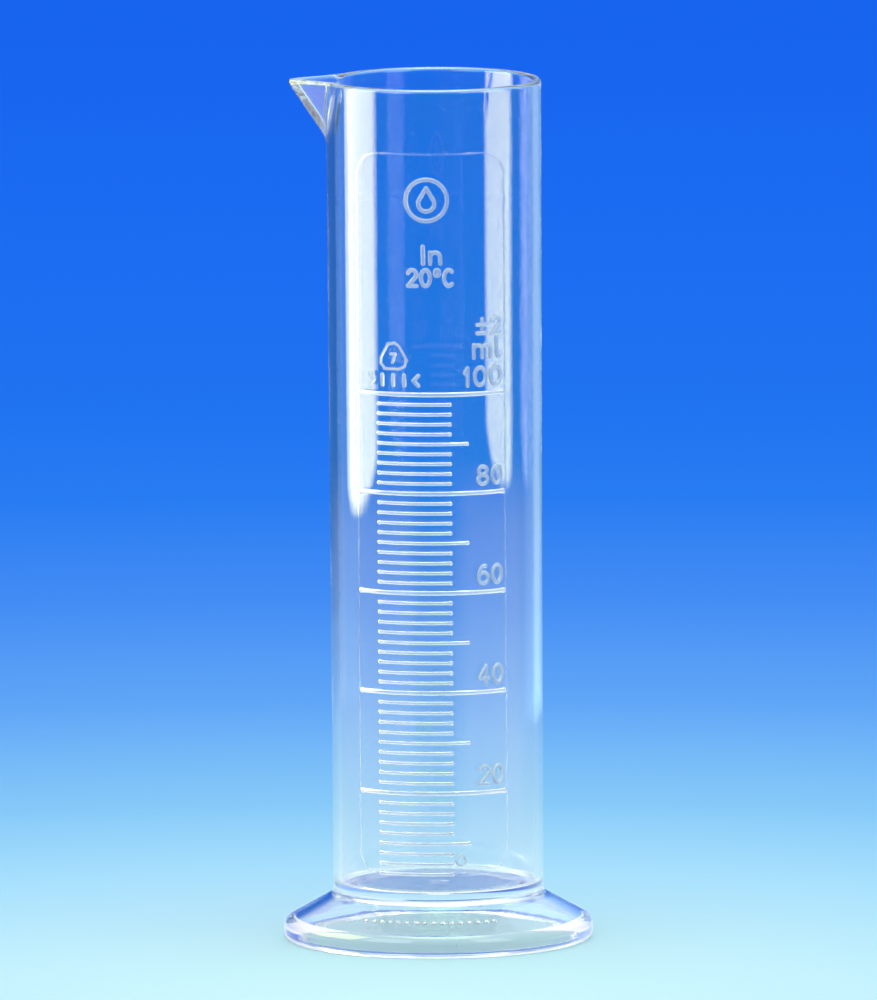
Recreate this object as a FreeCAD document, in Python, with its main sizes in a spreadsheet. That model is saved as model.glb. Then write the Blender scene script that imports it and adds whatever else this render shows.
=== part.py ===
import FreeCAD, Part
import math
import os

import Sketcher

# Graduated cylinder, low form, 100 ml in steps of 2 ml, injection-moulded in clear SAN plastic.
#
# Frame: millimetres, +Z up, origin on the axis at the plane the foot stands on.
# The scale faces -Y and the spout points to -X.
#
# The real article is a single moulding.  It is built here as its functional regions, which meet
# face to face without overlapping: the wall, the rim, the spout, the floor of the bore, the parts
# of the foot, and every raised mark of the scale.

DIMENSIONS = {
    # bore and wall
    "overall_height": 162.5,
    "bore_radius": 18.23,        # at the floor of the bore
    "draft": 0.0029,             # growth of every radius per millimetre of height
    "wall": 1.5,
    "floor_level": 10.9,         # the zero of the scale
    "floor_thickness": 1.7,
    "floor_bevel": 0.7,
    # rim and spout
    "rim_depth": 2.0,
    "rim_round": 0.7,
    "spout_reach": 28.4,         # axis to the sharp corner of the V, at the rim
    "spout_half_angle": 38.0,
    "spout_rake": 0.69,          # loss of reach per millimetre downwards
    "spout_depth": 12.0,
    "spout_setback": 2.4,        # outer corner of the V to inner corner
    "spout_root": 9.0,           # how far from the axis the V is closed, inside the bore
    "spout_nose_round": 1.0,
    "spout_lip_round": 0.6,
    # foot
    "foot_radius": 29.0,
    "foot_angle": 29.0,
    "foot_wall": 1.8,
    "flank_top_radius": 20.25,
    "flank_top_level": 8.6,
    "collar_height": 0.9,        # how far the collar climbs the wall above its foot
    "flank_end_radius": 27.1,
    "land_inner_radius": 26.4,
    "shoulder_round": 2.2,
    "heel_round": 1.5,
    "gate_radius": 1.9,
    "gate_height": 0.6,
    # raised marks: widths and heights above the wall
    "mark_height": 0.35,
    "main_line_width": 0.75,
    "line_width": 0.55,
    "stroke_width": 0.6,
    "frame_height": 0.1,
    "frame_width": 0.4,
}

SCALE_STEP_ML = 2
SCALE_TOP_ML = 100
NUMBERED_STEP_ML = 20
MEDIUM_STEP_ML = 10
CUBIC_MM_PER_ML = 1000

# azimuths in degrees, from the middle of the scale (-Y) towards +X
MAIN_SPAN = (-43.3, 43.3)
MEDIUM_SPAN = (-30.3, 21.3)
MINOR_SPAN = (-30.3, 11.9)
NUMERAL_RIGHT = 40.5
FRAME_HALF_SPAN = 44.5
FRAME_LEVELS = (14.5, 150.5)
FRAME_CORNER = 4.2

NODES = []

doc = FreeCAD.newDocument("graduated_cylinder")
sheet = doc.addObject("Spreadsheet::Sheet", "Dimensions")
for row, (alias, size) in enumerate(DIMENSIONS.items(), start=1):
    sheet.set(f"A{row}", alias)
    sheet.set(f"B{row}", str(size))
    sheet.setAlias(f"B{row}", alias)
doc.recompute()


def cell(alias):
    """The value of one driving dimension, read back from the sheet."""
    return float(sheet.get(alias))


def bound(expression):
    """An expression in which the aliases of the sheet are written as <alias>."""
    return expression.replace("<", "Dimensions.").replace(">", "")


def bore_at(level):
    """Expression for the radius of the bore at a level."""
    return f"(<bore_radius> + <draft> * ({level} - <floor_level>))"


def outside_at(level):
    """Expression for the outer radius of the wall at a level."""
    return f"({bore_at(level)} + <wall>)"


def level_of(millilitres):
    """Expression for the height at which the tapering bore holds a volume."""
    volume = millilitres * CUBIC_MM_PER_ML
    return (f"(<floor_level> + (cbrt(pow(<bore_radius>; 3) + 3 * <draft> * {volume} / pi)"
            f" - <bore_radius>) / <draft>)")


# ---------------------------------------------------------------- PartDesign helpers

def new_body(label):
    body = doc.addObject("PartDesign::Body", label)
    body.Label = label
    body.Placement = FreeCAD.Placement()
    NODES.append(body)
    return body


def origin_plane(body, role):
    for feature in body.Origin.OriginFeatures:
        if feature.Role == role:
            return feature
    raise ValueError(role)


def pin_coordinate(sketch, kind, vertex, expression):
    """Fix one coordinate of a sketch corner to an expression; a leading minus swaps the side."""
    axis = {"DistanceX": -2, "DistanceY": -1}[kind]
    if expression == "0":
        sketch.addConstraint(Sketcher.Constraint("PointOnObject", vertex, 1, axis))
        return
    if expression.startswith("-"):
        ends = (vertex, 1, -1, 1)
        expression = expression[1:]
    else:
        ends = (-1, 1, vertex, 1)
    index = sketch.addConstraint(Sketcher.Constraint(kind, *ends, 1.0))
    sketch.setExpression(f"Constraints[{index}]", bound(expression))


def polygon_sketch(body, name, role, corners, level=None):
    """A closed polygon on an origin plane, each corner bound to a pair of expressions."""
    sketch = body.newObject("Sketcher::SketchObject", name)
    sketch.AttachmentSupport = (origin_plane(body, role), [""])
    sketch.MapMode = "FlatFace"
    if level is not None:
        sketch.setExpression("AttachmentOffset.Base.z", bound(level))
    count = len(corners)
    turn = 2 * math.pi / count
    ring = [FreeCAD.Vector(20 + math.cos(turn * i), 20 + math.sin(turn * i), 0) for i in range(count)]
    for i in range(count):
        sketch.addGeometry(Part.LineSegment(ring[i], ring[(i + 1) % count]), False)
    for i in range(count):
        sketch.addConstraint(Sketcher.Constraint("Coincident", i, 2, (i + 1) % count, 1))
    for i, (across, up) in enumerate(corners):
        pin_coordinate(sketch, "DistanceX", i, across)
        pin_coordinate(sketch, "DistanceY", i, up)
    return sketch


def revolve(body, corners):
    """Turn a profile of (radius, level) expressions about the axis."""
    sketch = polygon_sketch(body, body.Label + "_profile", "XZ_Plane", corners)
    turned = body.newObject("PartDesign::Revolution", body.Label + "_turned")
    turned.Profile = sketch
    turned.ReferenceAxis = (sketch, ["V_Axis"])
    turned.Angle = 360
    sketch.Visibility = False
    doc.recompute()
    return turned


def edges_where(shape, wanted):
    return [f"Edge{i}" for i, edge in enumerate(shape.Edges, start=1) if wanted(edge)]


def fillet(body, base, edge_names, radius):
    rounded = body.newObject("PartDesign::Fillet", f"{body.Label}_round_{radius}")
    rounded.Base = (base, edge_names)
    rounded.setExpression("Radius", bound(f"<{radius}>"))
    doc.recompute()
    return rounded


def circle_edge(radius, level, slack=0.02):
    """A test for the full circle of a turned body that has this radius and level."""
    def wanted(edge):
        if not isinstance(edge.Curve, Part.Circle):
            return False
        return (abs(edge.Curve.Radius - radius) < slack
                and abs(edge.Curve.Center.z - level) < slack)
    return wanted


def spout_outline(body, name, setback):
    """The V of the spout in plan, at the level of the rim, closed inside the bore."""
    apex = f"(<spout_reach> - {setback})"
    half = f"(({apex} - <spout_root>) * tan(<spout_half_angle>))"
    corners = [(f"-{apex}", "0"), ("-<spout_root>", f"-{half}"), ("-<spout_root>", half)]
    return polygon_sketch(body, name, "XY_Plane", corners, level="<overall_height>")


def taper_expression():
    """The lean of the spout's sides that gives the rake along its corner."""
    return bound("atan(<spout_rake> * sin(<spout_half_angle>))")


def open_for_spout(body, setback="0"):
    """Take the V of the spout out of a body."""
    before = body.Shape.Volume
    pocket = body.newObject("PartDesign::Pocket", body.Label + "_spout_gap")
    pocket.Profile = spout_outline(body, body.Label + "_gap_outline", setback)
    pocket.setExpression("Length", bound("<spout_depth>"))
    pocket.setExpression("TaperAngle", "-1 * " + taper_expression())
    doc.recompute()
    if not body.Shape.Volume < before:
        raise RuntimeError(f"the spout gap cut nothing from {body.Label}")


# ---------------------------------------------------------------- the moulded body

FLOOR_UNDERSIDE = "(<floor_level> - <floor_thickness>)"
RIM_LEVEL = "(<overall_height> - <rim_depth>)"
FLANK_FALL = "tan(<foot_angle>)"
WALL_IN = "(<foot_wall> * sin(<foot_angle>))"
WALL_DOWN = "(<foot_wall> * cos(<foot_angle>))"
FLANK_END_LEVEL = f"(<flank_top_level> - (<flank_end_radius> - <flank_top_radius>) * {FLANK_FALL})"


def barrel():
    body = new_body("barrel")
    revolve(body, [
        (bore_at(FLOOR_UNDERSIDE), FLOOR_UNDERSIDE),
        (outside_at(FLOOR_UNDERSIDE), FLOOR_UNDERSIDE),
        (outside_at(RIM_LEVEL), RIM_LEVEL),
        (bore_at(RIM_LEVEL), RIM_LEVEL),
    ])
    open_for_spout(body)


def rim():
    body = new_body("rim")
    turned = revolve(body, [
        (bore_at(RIM_LEVEL), RIM_LEVEL),
        (outside_at(RIM_LEVEL), RIM_LEVEL),
        (outside_at("<overall_height>"), "<overall_height>"),
        (bore_at("<overall_height>"), "<overall_height>"),
    ])
    height = cell("overall_height")
    crest = edges_where(turned.Shape, lambda e: isinstance(e.Curve, Part.Circle)
                        and abs(e.Curve.Center.z - height) < 0.01)
    fillet(body, turned, crest, "rim_round")
    open_for_spout(body)


def pouring_spout():
    body = new_body("pouring_spout")
    block = body.newObject("PartDesign::Pad", "spout_block")
    block.Profile = spout_outline(body, "spout_outline", "0")
    block.Reversed = True
    block.setExpression("Length", bound("<spout_depth>"))
    block.setExpression("TaperAngle", "-1 * " + taper_expression())
    doc.recompute()
    reach = cell("spout_reach")
    rake = cell("spout_rake") * cell("spout_depth")

    def nose(edge):
        tips = [v.Point for v in edge.Vertexes]
        return len(tips) == 2 and all(abs(p.y) < 0.01 and p.x < -(reach - rake) + 0.01 for p in tips)

    fillet(body, block, edges_where(block.Shape, nose), "spout_nose_round")
    open_for_spout(body, "<spout_setback>")
    bore = body.newObject("PartDesign::Groove", "spout_bore")
    bore.Profile = polygon_sketch(body, "spout_bore_profile", "XZ_Plane", [
        ("0", f"({RIM_LEVEL} - <spout_depth>)"),
        (bore_at(f"({RIM_LEVEL} - <spout_depth>)"), f"({RIM_LEVEL} - <spout_depth>)"),
        (bore_at("(<overall_height> + 1)"), "(<overall_height> + 1)"),
        ("0", "(<overall_height> + 1)"),
    ])
    bore.ReferenceAxis = (bore.Profile[0], ["V_Axis"])
    bore.Angle = 360
    doc.recompute()
    height = cell("overall_height")

    def lip(edge):
        level = all(abs(v.Point.z - height) < 0.01 for v in edge.Vertexes)
        outward = edge.CenterOfMass.x < -(cell("bore_radius") + cell("wall"))
        return level and outward and edge.Length > 1.0 and abs(edge.CenterOfMass.z - height) < 0.01

    fillet(body, bore, edges_where(bore.Shape, lip), "spout_lip_round")


def bore_floor():
    body = new_body("bore_floor")
    bevel_top = "(<floor_level> + <floor_bevel>)"
    revolve(body, [
        ("0", FLOOR_UNDERSIDE),
        (bore_at(FLOOR_UNDERSIDE), FLOOR_UNDERSIDE),
        (bore_at(bevel_top), bevel_top),
        ("(<bore_radius> - <floor_bevel>)", "<floor_level>"),
        ("0", "<floor_level>"),
    ])


def foot_collar():
    """The ring under the wall, from the flank of the foot up to the wall it carries."""
    body = new_body("foot_collar")
    inner_radius = f"(<flank_top_radius> - {WALL_IN})"
    inner_level = f"(<flank_top_level> - {WALL_DOWN})"
    throat = f"({inner_radius} - ({FLOOR_UNDERSIDE} - {inner_level}) / {FLANK_FALL})"
    collar_top = "(<flank_top_level> + <collar_height>)"
    revolve(body, [
        (throat, FLOOR_UNDERSIDE),
        (inner_radius, inner_level),
        ("<flank_top_radius>", "<flank_top_level>"),
        (outside_at(collar_top), collar_top),
        (outside_at(FLOOR_UNDERSIDE), FLOOR_UNDERSIDE),
    ])


def foot_cone():
    body = new_body("foot_cone")
    revolve(body, [
        (f"(<flank_top_radius> - {WALL_IN})", f"(<flank_top_level> - {WALL_DOWN})"),
        (f"(<flank_end_radius> - {WALL_IN})", f"({FLANK_END_LEVEL} - {WALL_DOWN})"),
        ("<flank_end_radius>", FLANK_END_LEVEL),
        ("<flank_top_radius>", "<flank_top_level>"),
    ])


def foot_edge():
    body = new_body("foot_edge")
    shoulder = f"({FLANK_END_LEVEL} - (<foot_radius> - <flank_end_radius>) * {FLANK_FALL})"
    turned = revolve(body, [
        ("<land_inner_radius>", "0"),
        ("<foot_radius>", "0"),
        ("<foot_radius>", shoulder),
        ("<flank_end_radius>", FLANK_END_LEVEL),
        (f"(<flank_end_radius> - {WALL_IN})", f"({FLANK_END_LEVEL} - {WALL_DOWN})"),
    ])
    radius = cell("foot_radius")
    fall = math.tan(math.radians(cell("foot_angle")))
    shoulder_level = cell("flank_top_level") - (radius - cell("flank_top_radius")) * fall
    rounded = fillet(body, turned, edges_where(turned.Shape, circle_edge(radius, shoulder_level)),
                     "shoulder_round")
    fillet(body, rounded, edges_where(rounded.Shape, circle_edge(radius, 0.0)), "heel_round")


def gate_mark():
    """The stub left under the floor where the plastic was injected."""
    gate = doc.addObject("Part::Cylinder", "gate_mark")
    gate.Label = "gate_mark"
    gate.setExpression("Radius", bound("<gate_radius>"))
    gate.setExpression("Height", bound("<gate_height>"))
    gate.setExpression("Placement.Base.z", bound(f"{FLOOR_UNDERSIDE} - <gate_height>"))
    NODES.append(gate)


# ---------------------------------------------------------------- raised marks: shared shapes

def relief_band(name, height):
    """The thin conical shell just outside the wall in which the raised marks lie."""
    low = FLOOR_UNDERSIDE
    high = RIM_LEVEL
    cones = []
    for part, extra in (("outer", f" + {height}"), ("inner", "")):
        cone = doc.addObject("Part::Cone", f"{name}_{part}")
        cone.setExpression("Radius1", bound(outside_at(low) + extra))
        cone.setExpression("Radius2", bound(outside_at(high) + extra))
        cone.setExpression("Height", bound(f"{high} - {low}"))
        cone.setExpression("Placement.Base.z", bound(low))
        cones.append(cone)
    band = doc.addObject("Part::Cut", name)
    band.Base, band.Tool = cones
    doc.recompute()
    return band


def keep_in_band(label, blank, band):
    mark = doc.addObject("Part::Common", label)
    mark.Label = label
    mark.Base = blank
    mark.Tool = band
    NODES.append(mark)
    return mark


def graduations(label, volumes, span, width, band):
    """One group of graduation lines, each a bar across the front of the wall."""
    wall_radius = cell("bore_radius") + cell("wall") + cell("mark_height")
    left, right = (wall_radius * math.sin(math.radians(a)) for a in span)
    bars = []
    for volume in volumes:
        bar = doc.addObject("Part::Box", f"{label}_{volume}_ml")
        bar.Length = right - left
        bar.Width = wall_radius
        bar.setExpression("Height", bound(f"<{width}>"))
        bar.Placement.Base = FreeCAD.Vector(left, -1.1 * wall_radius, 0)
        bar.setExpression("Placement.Base.z", bound(f"{level_of(volume)} - <{width}> / 2"))
        bars.append(bar)
    blank = doc.addObject("Part::Compound", f"{label}_bars")
    blank.Links = bars
    keep_in_band(label, blank, band)


def rounded_block(name, inset):
    """An upright slab across the front of the wall, its four corners rounded as seen from -Y."""
    half = (cell("bore_radius") + cell("wall")) * math.sin(math.radians(FRAME_HALF_SPAN)) - inset
    low, high = FRAME_LEVELS
    block = doc.addObject("Part::Box", name + "_block")
    block.Length = 2 * half
    block.Width = 2 * cell("bore_radius")
    block.Height = high - low - 2 * inset
    block.Placement.Base = FreeCAD.Vector(-half, -2.2 * cell("bore_radius"), low + inset)
    doc.recompute()
    rounded = doc.addObject("Part::Fillet", name)
    rounded.Base = block
    corner = FRAME_CORNER - inset
    rounded.Edges = [(i, corner, corner) for i, edge in enumerate(block.Shape.Edges, start=1)
                     if edge.BoundBox.YLength > 1]
    return rounded


def panel_frame(band):
    """The low rounded frame left on the wall by the engraved insert of the mould."""
    frame = doc.addObject("Part::Cut", "panel_frame_blank")
    frame.Base = rounded_block("panel_outer", 0.0)
    frame.Tool = rounded_block("panel_inner", cell("frame_width"))
    keep_in_band("scale_panel_frame", frame, band)


# ---------------------------------------------------------------- raised marks: strokes

def oval(centre_x, centre_y, radius_x, radius_y, start=0, stop=360, steps=12):
    """Points along an oval arc, in degrees; a full turn closes on its first point."""
    turn = math.radians(stop - start) / steps
    first = math.radians(start)
    return [(centre_x + radius_x * math.cos(first + turn * i),
             centre_y + radius_y * math.sin(first + turn * i)) for i in range(steps + 1)]


# each glyph is a list of strokes in a cell one unit wide and one unit tall
GLYPHS = {
    "0": [oval(0.5, 0.5, 0.5, 0.5)],
    "1": [[(0.0, 0.72), (0.6, 1.0), (0.6, 0.0)]],
    "2": [oval(0.5, 0.72, 0.48, 0.28, 165, -35, 8) + [(0.02, 0.0), (1.0, 0.0)]],
    "4": [[(0.72, 0.0), (0.72, 1.0), (0.0, 0.3)], [(0.0, 0.3), (1.0, 0.3)]],
    "6": [oval(0.5, 0.31, 0.5, 0.31), oval(0.62, 0.31, 0.62, 0.69, 180, 80, 5)],
    "8": [oval(0.5, 0.26, 0.5, 0.26), oval(0.5, 0.76, 0.42, 0.24)],
    "7": [[(0.0, 1.0), (1.0, 1.0), (0.35, 0.0)]],
    "I": [[(0.5, 0.0), (0.5, 1.0)]],
    "n": [[(0.0, 0.0), (0.0, 0.66)], oval(0.5, 0.36, 0.5, 0.3, 180, 0, 6) + [(1.0, 0.0)]],
    "m": [[(0.0, 0.0), (0.0, 0.68)], oval(0.25, 0.46, 0.25, 0.2, 180, 0, 5) + [(0.5, 0.0)],
          oval(0.75, 0.46, 0.25, 0.2, 180, 0, 5) + [(1.0, 0.0)]],
    "l": [[(0.3, 1.0), (0.3, 0.2), (0.5, 0.0), (0.9, 0.0)]],
    "C": [oval(0.5, 0.5, 0.5, 0.5, 50, 310, 9)],
    "degree": [oval(0.5, 0.82, 0.45, 0.18, steps=8)],
    "plus_minus": [[(0.0, 0.6), (1.0, 0.6)], [(0.5, 0.95), (0.5, 0.28)], [(0.0, 0.05), (1.0, 0.05)]],
}


def slot_face(start, end, half_width):
    """A straight stroke with round ends."""
    run = end - start
    side = FreeCAD.Vector(-run.z, 0, run.x).normalize() * half_width
    cap = FreeCAD.Vector(run).normalize() * half_width
    edges = [
        Part.LineSegment(start + side, end + side).toShape(),
        Part.Arc(end + side, end + cap, end - side).toShape(),
        Part.LineSegment(end - side, start - side).toShape(),
        Part.Arc(start - side, start - cap, start + side).toShape(),
    ]
    return Part.Face(Part.Wire(edges))


def stroke_face(points, half_width):
    """The flat outline of one stroke: a slot, a bent bar or a closed ring."""
    if len(points) == 2:
        return slot_face(points[0], points[1], half_width)
    closed = points[0].distanceToPoint(points[-1]) < 1e-6
    path = Part.makePolygon(points[:-1] + [points[0]] if closed else points)
    outline = Part.Face(path.makeOffset2D(half_width, 0, False, False))
    if closed:
        outline = outline.cut(Part.Face(path.makeOffset2D(-half_width, 0, False, False)))
    return outline


def stroke_prisms(strokes, azimuth, base, width=None):
    """Strokes drawn in millimetres on the tangent plane at an azimuth, cut through the wall."""
    half_width = (width or cell("stroke_width")) / 2
    front = cell("bore_radius") + cell("wall") + 1.5
    through = FreeCAD.Vector(0, 3.0, 0)
    prisms = []
    for stroke in strokes:
        points = [FreeCAD.Vector(x, -front, z) for x, z in stroke]
        prisms.append(stroke_face(points, half_width).extrude(through))
    solid = prisms[0].multiFuse(prisms[1:]) if len(prisms) > 1 else prisms[0]
    solid.rotate(FreeCAD.Vector(), FreeCAD.Vector(0, 0, 1), azimuth)
    solid.translate(FreeCAD.Vector(0, 0, base))
    return solid


def scaled(strokes, width, height, left):
    return [[(left + x * width, z * height) for x, z in stroke] for stroke in strokes]


def degrees_round(distance):
    """The azimuth that a distance along the outside of the wall takes up."""
    return math.degrees(distance / (cell("bore_radius") + cell("wall")))


def lettering(glyphs, height, gap, base=0.0, right=None, middle=None):
    """A row of glyphs, (name, width) each, wrapped round the wall glyph by glyph."""
    total = sum(width for _, width in glyphs) + gap * (len(glyphs) - 1)
    azimuth = right - degrees_round(total) if right is not None else middle - degrees_round(total / 2)
    solids = []
    for name, width in glyphs:
        centre = azimuth + degrees_round(width / 2)
        solids.append(stroke_prisms(scaled(GLYPHS[name], width, height, -width / 2), centre, base))
        azimuth += degrees_round(width + gap)
    return solids


def raised(label, solids, level, band):
    """A mark cut from its strokes, standing on the wall at a level bound to the sheet."""
    blank = doc.addObject("Part::Feature", label + "_strokes")
    blank.Shape = Part.makeCompound(solids)
    blank.setExpression("Placement.Base.z", bound(level))
    keep_in_band(label, blank, band)


NUMERAL_HEIGHT = 3.3         # centreline to centreline; the stroke adds its own width
NUMERAL_LIFT = 1.6           # centreline of the numeral's foot above its graduation
DIGIT_WIDTH = 1.9
WIDE_DIGIT_WIDTH = 2.2
DIGIT_GAP = 1.05


def numerals(band):
    for volume in range(NUMBERED_STEP_ML, SCALE_TOP_ML, NUMBERED_STEP_ML):
        digits = [(digit, DIGIT_WIDTH) for digit in str(volume)]
        raised(f"numeral_{volume}", lettering(digits, NUMERAL_HEIGHT, DIGIT_GAP, right=NUMERAL_RIGHT),
               f"{level_of(volume)} + {NUMERAL_LIFT}", band)
    digits = [("1", 0.9), ("0", WIDE_DIGIT_WIDTH), ("0", WIDE_DIGIT_WIDTH)]
    raised("numeral_100", lettering(digits, NUMERAL_HEIGHT, DIGIT_GAP, right=NUMERAL_RIGHT),
           f"{level_of(SCALE_TOP_ML)} + {NUMERAL_LIFT}", band)


def inscriptions(band):
    """The unit, the tolerance and the calibration note, in the generic form of any such scale."""
    top = level_of(SCALE_TOP_ML)
    raised("unit_mark", lettering([("m", 3.4), ("l", 1.2)], 3.5, 1.0, right=NUMERAL_RIGHT),
           f"{top} + 6.8", band)
    raised("tolerance_mark", lettering([("plus_minus", 2.0), ("2", 1.9)], 2.9, 1.0, right=NUMERAL_RIGHT),
           f"{top} + 11.2", band)
    note = lettering([("I", 0.9), ("n", 1.9)], 3.2, 0.9, base=4.2, middle=0.8)
    note += lettering([("2", 1.7), ("0", 1.7), ("degree", 0.9), ("C", 1.8)], 3.0, 0.85, middle=0.8)
    raised("calibration_mark", note, f"{top} + 20.5", band)


def maker_emblem(band):
    """A plain ring round a drop of liquid."""
    ring = oval(0, 0, 3.9, 3.9, steps=24)
    drop = [(0.0, 2.3)] + oval(0, -0.6, 1.5, 1.5, 35, -215, 10) + [(0.0, 2.3)]
    raised("maker_emblem", [stroke_prisms([ring, drop], -1.3, 0)],
           f"{level_of(SCALE_TOP_ML)} + 36.6", band)


def recycling_mark(band):
    """Three bent bars chasing each other round a triangle, with the resin number inside."""
    strokes = []
    side = 4.1
    for third in range(3):
        turn = math.radians(120 * third)
        bend = [(-0.45 * side, -0.52 * side), (0.30 * side, -0.52 * side), (0.56 * side, -0.40 * side),
                (0.62 * side, -0.12 * side)]
        strokes.append([(x * math.cos(turn) - z * math.sin(turn), x * math.sin(turn) + z * math.cos(turn))
                        for x, z in bend])
    strokes += [[(x, z - 1.0) for x, z in stroke] for stroke in scaled(GLYPHS["7"], 1.0, 1.7, -0.45)]
    raised("recycling_mark", [stroke_prisms(strokes, -20.3, 0, width=0.42)],
           f"{level_of(SCALE_TOP_ML)} + 6.9", band)


def material_mark(band):
    """Two chevrons with three plain bars between them, in place of a resin code."""
    height = 1.9
    strokes = [[(-5.0, height), (-4.1, height / 2), (-5.0, 0)], [(5.0, height), (4.1, height / 2), (5.0, 0)]]
    strokes += [[(x, 0.0), (x, height)] for x in (-2.2, 0.0, 2.2)]
    solids = []
    for stroke in strokes:
        middle = sum(x for x, _ in stroke) / len(stroke)
        local = [(x - middle, z) for x, z in stroke]
        solids.append(stroke_prisms([local], -20.3 + degrees_round(middle), 0))
    raised("material_mark", solids, f"{level_of(SCALE_TOP_ML)} + 1.7", band)


def cavity_mark(band):
    """A small ring beside the foot of the scale, naming no mould in particular."""
    raised("cavity_mark", [stroke_prisms([oval(0, 0, 0.9, 0.9, steps=10)], 15.5, 0, width=0.45)],
           f"{level_of(4)} + 2.6", band)


PIP_COUNT = 16
PIP_SPAN = (-30.0, 28.0)
PIP_RADIUS = 0.55
PIP_RING_RADIUS = 24.6


def foot_pips():
    """Low domes in an arc on the front of the foot, in place of lettering."""
    fall = math.tan(math.radians(cell("foot_angle")))
    level = cell("flank_top_level") - (PIP_RING_RADIUS - cell("flank_top_radius")) * fall
    first, last = (math.radians(a) for a in PIP_SPAN)
    flank = doc.addObject("Part::Cone", "pip_flank")
    flank.setExpression("Radius1", bound("<flank_end_radius>"))
    flank.setExpression("Radius2", bound("<flank_top_radius>"))
    flank.setExpression("Height", bound(f"<flank_top_level> - {FLANK_END_LEVEL}"))
    flank.setExpression("Placement.Base.z", bound(FLANK_END_LEVEL))
    domes = []
    for i in range(PIP_COUNT):
        azimuth = first + (last - first) * i / (PIP_COUNT - 1)
        dome = doc.addObject("Part::Sphere", f"pip_{i + 1}")
        dome.Radius = PIP_RADIUS
        dome.Placement.Base = FreeCAD.Vector(PIP_RING_RADIUS * math.sin(azimuth),
                                             -PIP_RING_RADIUS * math.cos(azimuth), level)
        domes.append(dome)
    cluster = doc.addObject("Part::Compound", "pip_spheres")
    cluster.Links = domes
    pips = doc.addObject("Part::Cut", "foot_pips")
    pips.Label = "foot_pips"
    pips.Base = cluster
    pips.Tool = flank
    NODES.append(pips)


# ---------------------------------------------------------------- build, check and write

def build():
    barrel()
    rim()
    pouring_spout()
    bore_floor()
    foot_collar()
    foot_cone()
    foot_edge()
    gate_mark()

    marks = relief_band("mark_band", "<mark_height>")
    numbered = range(NUMBERED_STEP_ML, SCALE_TOP_ML + 1, NUMBERED_STEP_ML)
    medium = range(MEDIUM_STEP_ML, SCALE_TOP_ML, NUMBERED_STEP_ML)
    minor = [v for v in range(2 * SCALE_STEP_ML, SCALE_TOP_ML, SCALE_STEP_ML) if v % MEDIUM_STEP_ML]
    graduations("main_graduations", numbered, MAIN_SPAN, "main_line_width", marks)
    graduations("medium_graduations", medium, MEDIUM_SPAN, "line_width", marks)
    graduations("minor_graduations", minor, MINOR_SPAN, "line_width", marks)
    numerals(marks)
    inscriptions(marks)
    maker_emblem(marks)
    recycling_mark(marks)
    material_mark(marks)
    cavity_mark(marks)
    panel_frame(relief_band("frame_band", "<frame_height>"))
    foot_pips()
    doc.recompute()


def check():
    for item in doc.Objects:
        if "Invalid" in item.State or "Error" in item.State:
            raise RuntimeError(f"{item.Label}: {item.State}")
    for node in NODES:
        shape = node.Shape
        if shape.isNull() or not shape.isValid() or not shape.Solids or shape.Volume <= 0:
            raise RuntimeError(f"{node.Label} has no valid solid")


def write():
    os.makedirs("parts", exist_ok=True)
    for node in NODES:
        node.Shape.exportStep(f"parts/{node.Label}.step")
        box = node.Shape.BoundBox
        print(f"{node.Label:22s} {len(node.Shape.Solids):3d} solids {node.Shape.Volume:10.2f} mm3"
              f"  z {box.ZMin:8.3f} to {box.ZMax:8.3f}  x {box.XMin:8.3f} to {box.XMax:8.3f}")


build()
check()
write()
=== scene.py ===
import math

import bpy
import numpy as np
from mathutils import Matrix, Vector

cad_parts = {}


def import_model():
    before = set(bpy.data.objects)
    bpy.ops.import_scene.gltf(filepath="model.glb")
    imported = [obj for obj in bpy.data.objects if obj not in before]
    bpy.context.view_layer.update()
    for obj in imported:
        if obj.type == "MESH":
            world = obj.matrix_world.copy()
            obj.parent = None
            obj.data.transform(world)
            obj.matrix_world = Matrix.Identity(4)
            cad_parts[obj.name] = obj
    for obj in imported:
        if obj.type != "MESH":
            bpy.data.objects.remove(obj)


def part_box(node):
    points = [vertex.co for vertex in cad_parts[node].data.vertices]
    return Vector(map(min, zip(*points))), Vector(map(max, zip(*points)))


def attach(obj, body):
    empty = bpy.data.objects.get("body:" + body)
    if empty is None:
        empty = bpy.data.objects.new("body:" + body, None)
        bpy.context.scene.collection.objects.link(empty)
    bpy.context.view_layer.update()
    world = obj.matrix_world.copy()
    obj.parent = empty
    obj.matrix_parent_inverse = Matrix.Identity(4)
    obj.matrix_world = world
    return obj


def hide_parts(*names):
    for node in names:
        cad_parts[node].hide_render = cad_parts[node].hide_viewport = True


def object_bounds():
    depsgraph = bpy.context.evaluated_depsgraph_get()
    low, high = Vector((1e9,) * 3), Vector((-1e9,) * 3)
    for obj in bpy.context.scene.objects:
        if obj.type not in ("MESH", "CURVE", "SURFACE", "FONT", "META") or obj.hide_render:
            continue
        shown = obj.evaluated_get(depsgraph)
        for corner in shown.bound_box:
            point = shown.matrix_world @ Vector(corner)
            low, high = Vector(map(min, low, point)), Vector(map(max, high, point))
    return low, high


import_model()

# A clear low-form graduated cylinder, one moulding, shown as the pieces it is named by.
# Lengths are worked in millimetres in the frame of the CAD model and turned to metres when a mesh
# is made.  Where two pieces of the one moulding meet, their faces carry a fully transparent
# material, so light passes from piece to piece as it does through the solid plastic.

MM = 0.001
CAD_LOW, CAD_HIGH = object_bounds()


def cad_box(node):
    low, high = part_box(node)
    return [c / MM for c in low], [c / MM for c in high]


# ---------------------------------------------------------------- sizes, from the CAD model

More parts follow.
